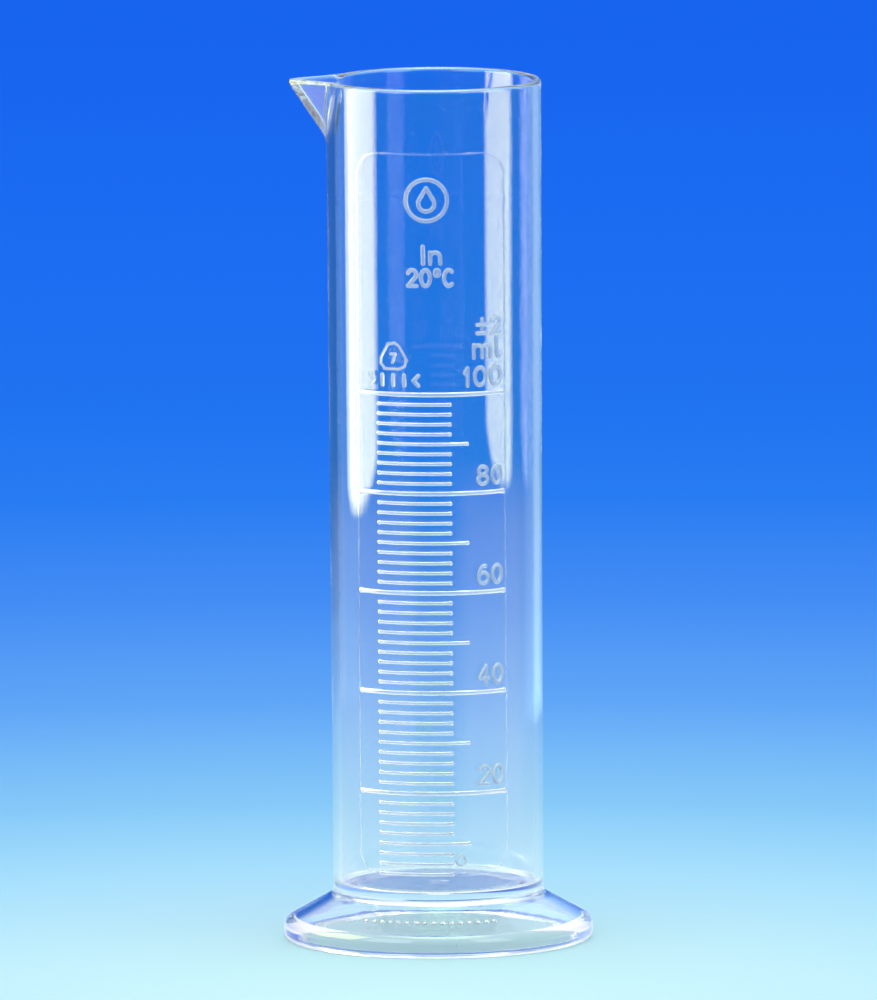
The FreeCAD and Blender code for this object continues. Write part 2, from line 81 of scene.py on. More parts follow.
HEIGHT = CAD_HIGH.z / MM
FOOT_RADIUS = cad_box("foot_edge")[1][0]
UNDERSIDE = cad_box("bore_floor")[0][2]
FLOOR_LEVEL = UNDERSIDE + 1.7
BORE_RADIUS = 18.23                  # at the floor
DRAFT = 0.0029                       # growth of every radius with height
WALL = 1.5
FLANK_TOP = (20.25, 8.6)             # radius and level where the collar becomes the flank
FLANK_ANGLE = math.radians(29.0)
FLANK_END_RADIUS = 27.1
FOOT_WALL = 1.8
LAND_INNER_RADIUS = 26.4

SPOUT_REACH = 28.4
SPOUT_HALF_ANGLE = math.radians(38.0)
SPOUT_RAKE = 0.69
SPOUT_SETBACK = 2.4
SPOUT_NOSE_BLUNT = 0.018             # radians, rounds the corner of the V
SPOUT_BLEND = 0.9                    # how softly the V runs into the wall
SPOUT_WINDOW = math.radians(32.0)
SPOUT_FOOT = HEIGHT - 13.5
RIM_LEVEL = HEIGHT - 2.0
CREST_RISE = 0.75
NOSE_EXTRA_RISE = 0.5
WALL_SEAM = 12.4                     # where the wall stands on the collar piece

SKIN, JOINT = 0, 1                   # material slots: outer surface, face against a neighbour


def bore_at(level):
    return BORE_RADIUS + DRAFT * (level - FLOOR_LEVEL)


def outside_at(level):
    return bore_at(level) + WALL


def level_of(millilitres):
    """Height at which the tapering bore holds a volume."""
    cubed = BORE_RADIUS ** 3 + 3 * DRAFT * millilitres * 1000 / math.pi
    return FLOOR_LEVEL + (cubed ** (1 / 3) - BORE_RADIUS) / DRAFT


# ---------------------------------------------------------------- mesh helpers

def add_piece(name, points, faces, kinds, sharp, nodes, materials):
    """A mesh from points in millimetres, riding on the one body and standing for CAD nodes."""
    mesh = bpy.data.meshes.new(name)
    mesh.from_pydata((np.asarray(points) * MM).tolist(), [], faces)
    mesh.polygons.foreach_set("material_index", np.asarray(kinds, np.int32))
    mesh.polygons.foreach_set("use_smooth", np.ones(len(faces), bool))
    if sharp:
        wanted = {tuple(sorted(pair)) for pair in sharp}
        flags = [tuple(sorted(edge.vertices)) in wanted for edge in mesh.edges]
        mesh.attributes.new("sharp_edge", "BOOLEAN", "EDGE").data.foreach_set("value", flags)
    for material in materials:
        mesh.materials.append(material)
    mesh.validate()
    mesh.update()
    piece = bpy.data.objects.new(name, mesh)
    bpy.context.scene.collection.objects.link(piece)
    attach(piece, "root")
    if nodes:
        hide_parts(*nodes)
    return piece


def arc_points(corner, before, after, radius, step=math.radians(6)):
    """The round that replaces a corner of an outline."""
    corner, before, after = (np.array(p, float) for p in (corner, before, after))
    one = (before - corner) / np.linalg.norm(before - corner)
    two = (after - corner) / np.linalg.norm(after - corner)
    opening = math.acos(float(np.clip(one @ two, -1, 1)))
    reach = radius / math.tan(opening / 2)
    middle = corner + (one + two) / np.linalg.norm(one + two) * (radius / math.sin(opening / 2))
    start = corner + one * reach - middle
    stop = corner + two * reach - middle
    turn = math.acos(float(np.clip(start @ stop / radius ** 2, -1, 1)))
    count = max(2, math.ceil(turn / step))
    sign = math.copysign(1, start[0] * stop[1] - start[1] * stop[0])
    points = []
    for i in range(count + 1):
        angle = sign * turn * i / count
        c, s = math.cos(angle), math.sin(angle)
        points.append(middle + (start[0] * c - start[1] * s, start[0] * s + start[1] * c))
    return points


def outline(corners):
    """Turns (radius, level, rounding, kind) corners into points and the kind of each stretch."""
    points, kinds = [], []
    count = len(corners)
    for i, (r, z, rounding, kind) in enumerate(corners):
        if rounding:
            before, after = corners[i - 1][:2], corners[(i + 1) % count][:2]
            arc = arc_points((r, z), before, after, rounding)
            points += arc
            kinds += [SKIN] * (len(arc) - 1) + [kind]
        else:
            points.append(np.array((r, z), float))
            kinds.append(kind)
    return points, kinds


AROUND = 256


def turned(name, corners, nodes, materials):
    """A closed solid turned about the axis from a closed outline of its half section."""
    points, kinds = outline(corners)
    area = sum(a[0] * b[1] - b[0] * a[1] for a, b in zip(points, points[1:] + points[:1]))
    if area < 0:
        points = points[::-1]
        kinds = kinds[-2::-1] + kinds[-1:]
    count = len(points)
    angles = 2 * math.pi * np.arange(AROUND) / AROUND
    rings, places = [], []
    for r, z in points:
        if r < 1e-9:
            rings.append([len(places)] * AROUND)
            places.append((0.0, 0.0, z))
        else:
            rings.append(list(range(len(places), len(places) + AROUND)))
            places += [(r * math.cos(a), r * math.sin(a), z) for a in angles]
    faces, face_kinds, sharp = [], [], []
    for k in range(count):
        low, high = rings[k], rings[(k + 1) % count]
        if points[k][0] < 1e-9 and points[(k + 1) % count][0] < 1e-9:
            continue
        for i in range(AROUND):
            j = (i + 1) % AROUND
            quad = list(dict.fromkeys((low[i], low[j], high[j], high[i])))
            faces.append(quad)
            face_kinds.append(kinds[k])
        if kinds[k] != kinds[k - 1] or corner_is_sharp(points, k):
            sharp += [(low[i], low[(i + 1) % AROUND]) for i in range(AROUND)]
    return add_piece(name, places, faces, face_kinds, sharp, nodes, materials)


def corner_is_sharp(points, k, limit=math.radians(25)):
    before = points[k] - points[k - 1]
    after = points[(k + 1) % len(points)] - points[k]
    cosine = before @ after / max(np.linalg.norm(before) * np.linalg.norm(after), 1e-12)
    return math.acos(float(np.clip(cosine, -1, 1))) > limit


# ---------------------------------------------------------------- the wall, rim and spout

def soft_max(a, b, width):
    share = np.clip(0.5 + 0.5 * (a - b) / width, 0, 1)
    return b * (1 - share) + a * share + width * share * (1 - share)


def spout_shape(turn, level, radius, setback):
    """Radius of the wall at an angle from the spout, where the V stands out of the round wall."""
    reach = SPOUT_REACH - setback - SPOUT_RAKE * (HEIGHT - level)
    blunt = np.sqrt(turn ** 2 + SPOUT_NOSE_BLUNT ** 2)
    flank = reach * math.sin(SPOUT_HALF_ANGLE) / np.sin(np.minimum(SPOUT_HALF_ANGLE + blunt, math.pi / 2))
    return soft_max(flank, radius, SPOUT_BLEND)


def wall_grid():
    """Outer and inner surfaces of the wall on one grid of turns (from the spout) and rows."""
    even = np.linspace(-1, 1, 161)
    fine = SPOUT_WINDOW * np.sign(even) * np.abs(even) ** 1.8    # closest together at the nose
    coarse = np.linspace(SPOUT_WINDOW, 2 * math.pi - SPOUT_WINDOW, 240)[1:-1]
    turns = np.concatenate([fine, coarse])
    near = np.where(turns > math.pi, turns - 2 * math.pi, turns)
    levels = np.concatenate([np.linspace(WALL_SEAM, SPOUT_FOOT, 30),
                             np.linspace(SPOUT_FOOT, RIM_LEVEL, 24)[1:]])
    crest = np.radians(np.linspace(0, 90, 25))
    rise = CREST_RISE + NOSE_EXTRA_RISE * np.exp(-(near / math.radians(7)) ** 2)
    half = 0.5 * (spout_shape(near, HEIGHT, outside_at(HEIGHT), 0)
                  - spout_shape(near, HEIGHT, bore_at(HEIGHT), SPOUT_SETBACK))
    rows_z = [np.full_like(near, z) for z in levels] + [HEIGHT - rise * (1 - math.sin(t)) for t in crest]
    rows_in = [np.zeros_like(near) for _ in levels] + [half * (1 - math.cos(t)) for t in crest]
    z = np.array(rows_z)
    inset = np.array(rows_in)
    outer = spout_shape(near, z, outside_at(z), 0) - inset
    inner = spout_shape(near, z, bore_at(z), SPOUT_SETBACK) + inset
    theta = math.pi + turns

    def places(radius):
        return np.stack([radius * np.cos(theta), radius * np.sin(theta), z], axis=-1)

    return near, z, places(outer), places(inner), len(levels)


def wall_piece(name, cells, grid, nodes, materials):
    """The thick piece of wall that fills these cells of the grid."""
    _, z, outer, inner, _ = grid
    rows, columns = z.shape
    index = {}
    points = []

    def vertex(side, row, column):
        column %= columns
        if row == rows - 1:
            side = 0
        key = (side, row, column)
        if key not in index:
            index[key] = len(points)
            points.append((outer, inner)[side][row, column])
        return index[key]

    faces, kinds, sharp = [], [], []
    for row, column in np.argwhere(cells):
        corners = [(row, column), (row, column + 1), (row + 1, column + 1), (row + 1, column)]
        faces.append([vertex(0, *c) for c in corners])
        faces.append([vertex(1, *c) for c in reversed(corners)])
        kinds += [SKIN, SKIN]
        neighbours = [(row - 1, column), (row, column + 1), (row + 1, column), (row, column - 1)]
        for k, (r, c) in enumerate(neighbours):
            if 0 <= r < rows - 1 and cells[r, c % columns] or r == rows - 1:
                continue
            a, b = corners[k], corners[(k + 1) % 4]
            edge = [vertex(0, *b), vertex(0, *a), vertex(1, *a), vertex(1, *b)]
            faces.append(edge)
            kinds.append(JOINT)
            sharp += [(edge[0], edge[1]), (edge[2], edge[3])]
    return add_piece(name, points, faces, kinds, sharp, nodes, materials)


def upper_body(materials):
    grid = wall_grid()
    near, z, _, _, straight = grid
    rows, columns = z.shape
    following = np.roll(near, -1)
    in_window = (np.abs(near) <= SPOUT_WINDOW + 1e-6) & (np.abs(following) <= SPOUT_WINDOW + 1e-6)
    row_low = z[:-1].min(axis=1)
    above_foot = row_low >= SPOUT_FOOT - 1e-6
    above_rim = np.arange(rows - 1) >= straight - 1
    spout = above_foot[:, None] & in_window[None, :]
    rim = above_rim[:, None] & ~in_window[None, :]
    wall_piece("pouring_spout_body", spout, grid, ["pouring_spout"], materials)
    wall_piece("rim_body", rim, grid, ["rim"], materials)
    wall_piece("barrel_body", ~spout & ~rim, grid, ["barrel"], materials)


# ---------------------------------------------------------------- the floor and the foot

def flank_point(radius):
    """A point on the outside of the conical flank."""
    return (radius, FLANK_TOP[1] - (radius - FLANK_TOP[0]) * math.tan(FLANK_ANGLE))


def under_flank(point):
    """The point straight through the foot's wall from one on its outside."""
    return (point[0] - FOOT_WALL * math.sin(FLANK_ANGLE), point[1] - FOOT_WALL * math.cos(FLANK_ANGLE))


FLOOR_SEAM_RADIUS = 12.0
COLLAR_SEAM_RADIUS = 21.6
GATE_RADIUS = 1.9
GATE_DEPTH = 0.6


def lower_body(materials):
    seam_top, seam_low = flank_point(COLLAR_SEAM_RADIUS), flank_point(FLANK_END_RADIUS)
    wall_foot = flank_point(outside_at(FLANK_TOP[1]))
    throat_level = UNDERSIDE
    inner = under_flank(seam_top)
    throat_radius = inner[0] - (throat_level - inner[1]) / math.tan(FLANK_ANGLE)
    turned("foot_collar_body", [
        (outside_at(WALL_SEAM), WALL_SEAM, 0, SKIN),
        (*wall_foot, 1.0, SKIN),
        (*seam_top, 0, JOINT),
        (*inner, 0, SKIN),
        (throat_radius, throat_level, 1.5, SKIN),
        (FLOOR_SEAM_RADIUS, UNDERSIDE, 0, JOINT),
        (FLOOR_SEAM_RADIUS, FLOOR_LEVEL, 0, SKIN),
        (bore_at(FLOOR_LEVEL), FLOOR_LEVEL, 0.8, SKIN),
        (bore_at(WALL_SEAM), WALL_SEAM, 0, JOINT),
    ], ["foot_collar"], materials)
    turned("bore_floor_body", [
        (0, FLOOR_LEVEL, 0, SKIN),
        (FLOOR_SEAM_RADIUS, FLOOR_LEVEL, 0, JOINT),
        (FLOOR_SEAM_RADIUS, UNDERSIDE, 0, SKIN),
        (GATE_RADIUS, UNDERSIDE, 0, JOINT),
        (0, UNDERSIDE, 0, JOINT),
    ], ["bore_floor"], materials)
    turned("gate_stub", [
        (0, UNDERSIDE, 0, JOINT),
        (GATE_RADIUS, UNDERSIDE, 0, SKIN),
        (GATE_RADIUS - 0.1, UNDERSIDE - GATE_DEPTH, 0.25, SKIN),
        (0, UNDERSIDE - GATE_DEPTH + 0.15, 0, SKIN),
    ], ["gate_mark"], materials)
    turned("foot_cone_body", [
        (*seam_top, 0, SKIN),
        (*seam_low, 0, JOINT),
        (*under_flank(seam_low), 0, SKIN),
        (*inner, 0, JOINT),
    ], ["foot_cone"], materials)
    turned("foot_edge_body", [
        (*seam_low, 0, SKIN),
        (*flank_point(FOOT_RADIUS), 2.2, SKIN),
        (FOOT_RADIUS, 0, 1.5, SKIN),
        (LAND_INNER_RADIUS, 0, 0.25, SKIN),
        (*under_flank(seam_low), 0, JOINT),
    ], ["foot_edge"], materials)


# ---------------------------------------------------------------- raised marks

MARK_HEIGHT = 0.35
MARK_GAP = 0.012                      # keeps the foot of a mark clear of the wall's own facets
STROKE = 0.82


def on_wall(across, level, height):
    """A point on the wall: distance round from the middle of the scale, level, height above."""
    level = np.asarray(level, float)
    azimuth = np.asarray(across, float) / outside_at(level)
    radius = outside_at(level) + MARK_GAP + height
    places = np.broadcast_arrays(radius * np.sin(azimuth), -radius * np.cos(azimuth), level)
    return np.stack(places, axis=-1)


def arc_length(degrees):
    return math.radians(degrees) * outside_at(60.0)


class Relief:
    """Collects closed ridges and glyphs that share one piece."""

    def __init__(self):
        self.points, self.faces = [], []

    def add(self, points, faces):
        start = sum(len(p) for p in self.points)
        self.points.append(np.asarray(points, float).reshape(-1, 3))
        self.faces += [[start + v for v in face] for face in faces]

    def ridge(self, path, width, height, closed=False, fullness=0.8, knob=0.0):
        """A rounded ridge along a path of (across, level) points; open ends are rounded off, and
        a knob swells them by that share."""
        path = np.asarray(path, float)
        if closed:
            tangent = np.roll(path, -1, axis=0) - np.roll(path, 1, axis=0)
            scale = np.ones(len(path))
        else:
            path, scale = rounded_ends(path, width / 2 * (1 + knob))
            from_start, from_stop = (np.linalg.norm(path - path[k], axis=1) for k in (0, -1))
            past_round = np.maximum(np.minimum(from_start, from_stop) - width / 2, 0)
            scale = scale * (1 + knob * np.exp(-(past_round / (0.5 * width)) ** 2))
            tangent = np.gradient(path, axis=0)
        tangent /= np.linalg.norm(tangent, axis=1)[:, None]
        side = np.stack([-tangent[:, 1], tangent[:, 0]], axis=1)
        sweep = np.linspace(0, math.pi, 9)
        offsets = -np.cos(sweep) * width / 2
        rises = np.sin(sweep) ** fullness * height
        ring = [on_wall(*(path + side * (o * scale)[:, None]).T, h * scale)
                for o, h in zip(offsets, rises)]
        points = np.stack(ring, axis=1)
        stations, across = points.shape[:2]
        faces = []
        for i in range(stations if closed else stations - 1):
            j = (i + 1) % stations
            for k in range(across):
                m = (k + 1) % across
                faces.append([i * across + k, i * across + m, j * across + m, j * across + k])
        if not closed:
            faces.append(list(range(across - 1, -1, -1)))
            faces.append([(stations - 1) * across + k for k in range(across)])
        self.add(points, faces)

    def glyph(self, strokes, left, base, width=STROKE, cell=0.075):
        """Strokes in millimetres as one rounded relief, with its foot at (left, base)."""
        segments = np.array([(*a, *b) for stroke in strokes for a, b in zip(stroke, stroke[1:])])
        half = width / 2
        low = segments.reshape(-1, 2).min(axis=0) - half - cell
        high = segments.reshape(-1, 2).max(axis=0) + half + cell
        xs = np.arange(low[0], high[0] + cell, cell)
        zs = np.arange(low[1], high[1] + cell, cell)
        grid = np.stack(np.meshgrid(xs, zs, indexing="ij"), axis=-1)
        nearest, distance = nearest_on(segments, grid)
        inside = distance < half
        cells = inside[:-1, :-1] | inside[1:, :-1] | inside[:-1, 1:] | inside[1:, 1:]
        away = grid - nearest
        edge = nearest + away / np.maximum(distance, 1e-9)[..., None] * half
        grid = np.where(inside[..., None], grid, edge)
        share = np.clip(distance / half, 0, 1)
        rise = np.where(inside, (1 - share ** 2) ** 0.55 * MARK_HEIGHT, 0.0)
        top = on_wall(left + grid[..., 0], base + grid[..., 1], rise)
        foot = on_wall(left + grid[..., 0], base + grid[..., 1], 0.0)
        index, points, faces = {}, [], []

        def vertex(i, j, under):
            key = (i, j, under and bool(inside[i, j]))
            if key not in index:
                index[key] = len(points)
                points.append((foot if key[2] else top)[i, j])
            return index[key]

        for i, j in np.argwhere(cells):
            corners = [(i, j), (i + 1, j), (i + 1, j + 1), (i, j + 1)]
            faces.append([vertex(*c, False) for c in corners])
            faces.append([vertex(*c, True) for c in reversed(corners)])
        self.add(points, faces)

    def finish(self, name, nodes, materials):
        points = np.concatenate(self.points)
        kinds = [SKIN] * len(self.faces)
        return add_piece(name, points, self.faces, kinds, [], nodes, materials)


def rounded_ends(path, half, steps=6):
    """Adds stations at both ends of a path where a ridge narrows to a round end."""
    first = path[1] - path[0]
    last = path[-1] - path[-2]
    first /= np.linalg.norm(first)
    last /= np.linalg.norm(last)
    angles = np.linspace(0.12, math.pi / 2, steps)[:-1]
    head = [path[0] + first * half * (1 - math.cos(a)) for a in angles]
    tail = [path[-1] - last * half * (1 - math.cos(a)) for a in angles[::-1]]
    body = [path[0] + first * half] + list(path[1:-1]) + [path[-1] - last * half]
    scale = np.concatenate([np.sin(angles), np.ones(len(body)), np.sin(angles[::-1])])
    return np.array(head + body + tail), scale


def nearest_on(segments, grid):
    """The nearest point on any segment, and its distance, for every point of a grid."""
    best = np.full(grid.shape[:-1], np.inf)
    nearest = np.zeros_like(grid)
    for ax, az, bx, bz in segments:
        start, run = np.array((ax, az)), np.array((bx - ax, bz - az))
        share = np.clip(((grid - start) @ run) / max(run @ run, 1e-12), 0, 1)
        place = start + share[..., None] * run
        distance = np.linalg.norm(grid - place, axis=-1)
        closer = distance < best
        best = np.where(closer, distance, best)
        nearest = np.where(closer[..., None], place, nearest)
    return nearest, best


def oval(centre_x, centre_z, radius_x, radius_z, start=0, stop=360, steps=24):
    """Points along an oval arc, in degrees; a full turn closes on its first point."""
    angles = [math.radians(start + (stop - start) * i / steps) for i in range(steps + 1)]
    return [(centre_x + radius_x * math.cos(a), centre_z + radius_z * math.sin(a)) for a in angles]


# Strokes in a unit cell, the centrelines of plain block lettering.
GLYPHS = {
    "0": [oval(0.5, 0.5, 0.5, 0.5)],
    "1": [[(0.0, 0.72), (0.6, 1.0), (0.6, 0.0)]],
    "2": [oval(0.5, 0.72, 0.48, 0.28, 165, -35, 16) + [(0.02, 0.0), (1.0, 0.0)]],
    "4": [[(0.72, 0.0), (0.72, 1.0), (0.0, 0.3), (1.0, 0.3)]],
    "6": [oval(0.5, 0.31, 0.5, 0.31), oval(0.62, 0.31, 0.62, 0.69, 180, 80, 10)],
    "7": [[(0.0, 1.0), (1.0, 1.0), (0.35, 0.0)]],
    "8": [oval(0.5, 0.26, 0.5, 0.26), oval(0.5, 0.76, 0.42, 0.24)],
    "I": [[(0.5, 0.0), (0.5, 1.0)]],
    "n": [[(0.0, 0.0), (0.0, 0.66)], oval(0.5, 0.36, 0.5, 0.3, 180, 0, 12) + [(1.0, 0.0)]],
    "m": [[(0.0, 0.0), (0.0, 0.68)], oval(0.25, 0.46, 0.25, 0.2, 180, 0, 10) + [(0.5, 0.0)],
          oval(0.75, 0.46, 0.25, 0.2, 180, 0, 10) + [(1.0, 0.0)]],
    "l": [[(0.3, 1.0), (0.3, 0.2), (0.5, 0.0), (0.9, 0.0)]],
    "C": [oval(0.5, 0.5, 0.5, 0.5, 50, 310, 18)],
    "degree": [oval(0.5, 0.82, 0.45, 0.18)],
    "plus_minus": [[(0.0, 0.6), (1.0, 0.6)], [(0.5, 0.95), (0.5, 0.28)], [(0.0, 0.05), (1.0, 0.05)]],
}


def scaled(strokes, width, height):
    return [[(x * width, z * height) for x, z in stroke] for stroke in strokes]


SCALE_TOP = 100
MAIN_SPAN = (-43.3, 43.3)             # degrees round the wall, from the front towards the right
MEDIUM_SPAN = (-30.3, 21.3)
MINOR_SPAN = (-30.3, 11.9)
MAIN_LINE, FINE_LINE = 0.88, 0.68     # widths in millimetres
LINE_STEP = 0.6                       # between the stations of a line, away from its ends
LINE_KNOB = 0.3                       # how much a line swells at its ends
NUMERAL_RIGHT = 40.5
DIGIT_WIDTH = 1.9
HUNDRED = [("1", 0.9), ("0", 2.2), ("0", 2.2)]


def graduations(name, volumes, span, width, materials):
    lines = Relief()
    left, right = (arc_length(a) for a in span)
    near_end = np.arange(1, 8) * width / 4 + width / 2
    margin = near_end[-1] + 0.5
    middle = np.linspace(left + margin, right - margin, round((right - left) / LINE_STEP))
    stations = np.concatenate([[left], left + near_end, middle, right - near_end[::-1], [right]])
    for volume in volumes:
        path = [(across, level_of(volume)) for across in stations]
        lines.ridge(path, width, MARK_HEIGHT, knob=LINE_KNOB)
    lines.finish(name + "_relief", [name], materials)


def lettering(relief, glyphs, height, gap, base, right=None, middle=None):
    """Sets glyphs of (name, width) in a row that ends at or is centred on an azimuth."""
    total = sum(width for _, width in glyphs) + gap * (len(glyphs) - 1)
    left = arc_length(right) - total if right is not None else arc_length(middle) - total / 2
    for name, width in glyphs:
        relief.glyph(scaled(GLYPHS[name], width, height), left, base)
        left += width + gap


def marked(name, materials, *rows):
    relief = Relief()
    for row in rows:
        lettering(relief, **row)
    relief.finish(name + "_relief", [name], materials)


def scale(materials):
    numbered = range(20, SCALE_TOP + 1, 20)
    graduations("main_graduations", numbered, MAIN_SPAN, MAIN_LINE, materials)
    graduations("medium_graduations", range(10, SCALE_TOP, 20), MEDIUM_SPAN, FINE_LINE, materials)
    fine = [v for v in range(4, SCALE_TOP, 2) if v % 10]
    graduations("minor_graduations", fine, MINOR_SPAN, FINE_LINE, materials)
    for volume in numbered:
        glyphs = HUNDRED if volume == SCALE_TOP else [(digit, DIGIT_WIDTH) for digit in str(volume)]
        marked(f"numeral_{volume}", materials,
               dict(glyphs=glyphs, height=3.3, gap=1.05, base=level_of(volume) + 1.6, right=NUMERAL_RIGHT))


def inscriptions(materials):
    top = level_of(SCALE_TOP)
    marked("unit_mark", materials,
           dict(glyphs=[("m", 3.4), ("l", 1.2)], height=3.5, gap=1.0, base=top + 6.8, right=NUMERAL_RIGHT))
    marked("tolerance_mark", materials,
           dict(glyphs=[("plus_minus", 2.0), ("2", 1.9)], height=2.9, gap=1.0, base=top + 11.2,
                right=NUMERAL_RIGHT))
    marked("calibration_mark", materials,
           dict(glyphs=[("I", 0.9), ("n", 1.9)], height=3.2, gap=0.9, base=top + 24.7, middle=0.8),
           dict(glyphs=[("2", 1.7), ("0", 1.7), ("degree", 0.9), ("C", 1.8)], height=3.0, gap=0.85,
                base=top + 20.5, middle=0.8))


SYMBOLS_MIDDLE = -20.3                # degrees


def symbols(materials):
    top = level_of(SCALE_TOP)
    emblem = Relief()
    ring = oval(0, 0, 3.9, 3.9, steps=72)
    drop = [(0.0, 2.3)] + oval(0, -0.6, 1.5, 1.5, 35, -215, 30) + [(0.0, 2.3)]
    emblem.glyph([ring, drop], arc_length(-1.3), top + 36.6)
    emblem.finish("maker_emblem_relief", ["maker_emblem"], materials)

    recycling = Relief()
    side = 4.1
    bend = [(-0.45, -0.52), (0.30, -0.52), (0.56, -0.40), (0.62, -0.12)]
    strokes = []
    for third in range(3):
        c, s = math.cos(math.radians(120 * third)), math.sin(math.radians(120 * third))
        strokes.append([(side * (x * c - z * s), side * (x * s + z * c)) for x, z in bend])
    strokes += [[(x - 0.45, z - 1.0) for x, z in stroke] for stroke in scaled(GLYPHS["7"], 1.0, 1.7)]
    recycling.glyph(strokes, arc_length(SYMBOLS_MIDDLE), top + 6.9, width=0.52)
    recycling.finish("recycling_mark_relief", ["recycling_mark"], materials)

    material = Relief()
    height = 1.9
    strokes = [[(4.9 * side, height), (4.0 * side, height / 2), (4.9 * side, 0)] for side in (-1, 1)]
    strokes += [[(x, 0.0), (x, height)] for x in (-2.2, 0.0, 2.2)]
    for stroke in strokes:
        material.glyph([stroke], arc_length(SYMBOLS_MIDDLE), top + 1.7)
    material.finish("material_mark_relief", ["material_mark"], materials)

    cavity = Relief()
    cavity.glyph([oval(0, 0, 0.9, 0.9)], arc_length(15.5), level_of(4) + 2.6, width=0.45)
    cavity.finish("cavity_mark_relief", ["cavity_mark"], materials)


def panel_frame(materials):
    """The faint outline of the insert that forms the scale, a rounded oblong wrapped on the wall."""
    low, high, corner, inset = 14.5, 150.5, 4.2, 0.2
    half = outside_at(60) * math.sin(math.radians(44.5)) - inset
    path = []
    for sx, sz, start in ((1, 1, 0), (-1, 1, 90), (-1, -1, 180), (1, -1, 270)):
        cx, cz = sx * (half - corner), (high - corner if sz > 0 else low + corner)
        path += [(x, z) for x, z in oval(cx, cz, corner, corner, start, start + 90, 8)]
    dense = []
    for a, b in zip(path, path[1:] + path[:1]):
        a, b = np.array(a), np.array(b)
        count = max(1, round(np.linalg.norm(b - a) / 1.5))
        dense += [a + (b - a) * i / count for i in range(count)]
    wrapped = [(math.asin(x / outside_at(z)) * outside_at(z), z) for x, z in dense]
    frame_line = Relief()
    frame_line.ridge(wrapped, 0.4, 0.012, closed=True, fullness=2)
    frame_line.finish("scale_panel_frame_relief", ["scale_panel_frame"], materials)


def foot_pips(materials):
    """Low domes in an arc on the front of the foot."""
    count, first, last = 16, math.radians(-30), math.radians(28)
    radius, ring_radius = 0.55, 24.6
    out = np.array((math.sin(FLANK_ANGLE), math.cos(FLANK_ANGLE)))
    _, level = flank_point(ring_radius)
    pips = Relief()
    around, up = 20, 7
    for i in range(count):
        azimuth = first + (last - first) * i / (count - 1)
        radial = np.array((math.sin(azimuth), -math.cos(azimuth), 0))
        normal = radial * out[0] + np.array((0, 0, out[1]))
        side = np.array((math.cos(azimuth), math.sin(azimuth), 0))
        along = np.cross(normal, side)
        foot = radial * ring_radius + np.array((0, 0, level)) + normal * MARK_GAP
        points = [foot]
        for k in range(up):
            lift = math.radians(90 * k / up)
            for j in range(around):
                turn = 2 * math.pi * j / around
                flat = side * math.cos(turn) + along * math.sin(turn)
                points.append(foot + radius * (flat * math.cos(lift) + normal * 0.8 * math.sin(lift)))
        points.append(foot + normal * radius * 0.8)
        faces = [[0, 1 + (j + 1) % around, 1 + j] for j in range(around)]
        for k in range(up - 1):
            for j in range(around):
                m = (j + 1) % around
                a, b = 1 + k * around, 1 + (k + 1) * around
                faces.append([a + j, a + m, b + m, b + j])
        a = 1 + (up - 1) * around
        faces += [[a + j, a + (j + 1) % around, len(points) - 1] for j in range(around)]
        pips.add(points, faces)
    pips.finish("foot_pips_relief", ["foot_pips"], materials)


# ---------------------------------------------------------------- materials

STYRENE_INDEX = 1.57
CLEAR_TONES = (0.962, 0.975, 0.962, 1), (0.988, 0.993, 0.984, 1)
MARK_TONES = (0.84, 0.94, 0.97, 1), (0.90, 0.985, 0.99, 1)


def feed(tree, socket, value):
    """Links a socket to a node's input, or sets the input to a plain value."""
    if isinstance(value, bpy.types.NodeSocket):
        tree.links.new(value, socket)
    else:
        socket.default_value = value


def mixed(tree, share, one, two):
    """A colour between two, each a socket or a plain colour."""
    node = tree.nodes.new("ShaderNodeMix")
    node.data_type = "RGBA"
    for key, value in ((0, share), (6, one), (7, two)):
        feed(tree, node.inputs[key], value)
    return node.outputs[2]


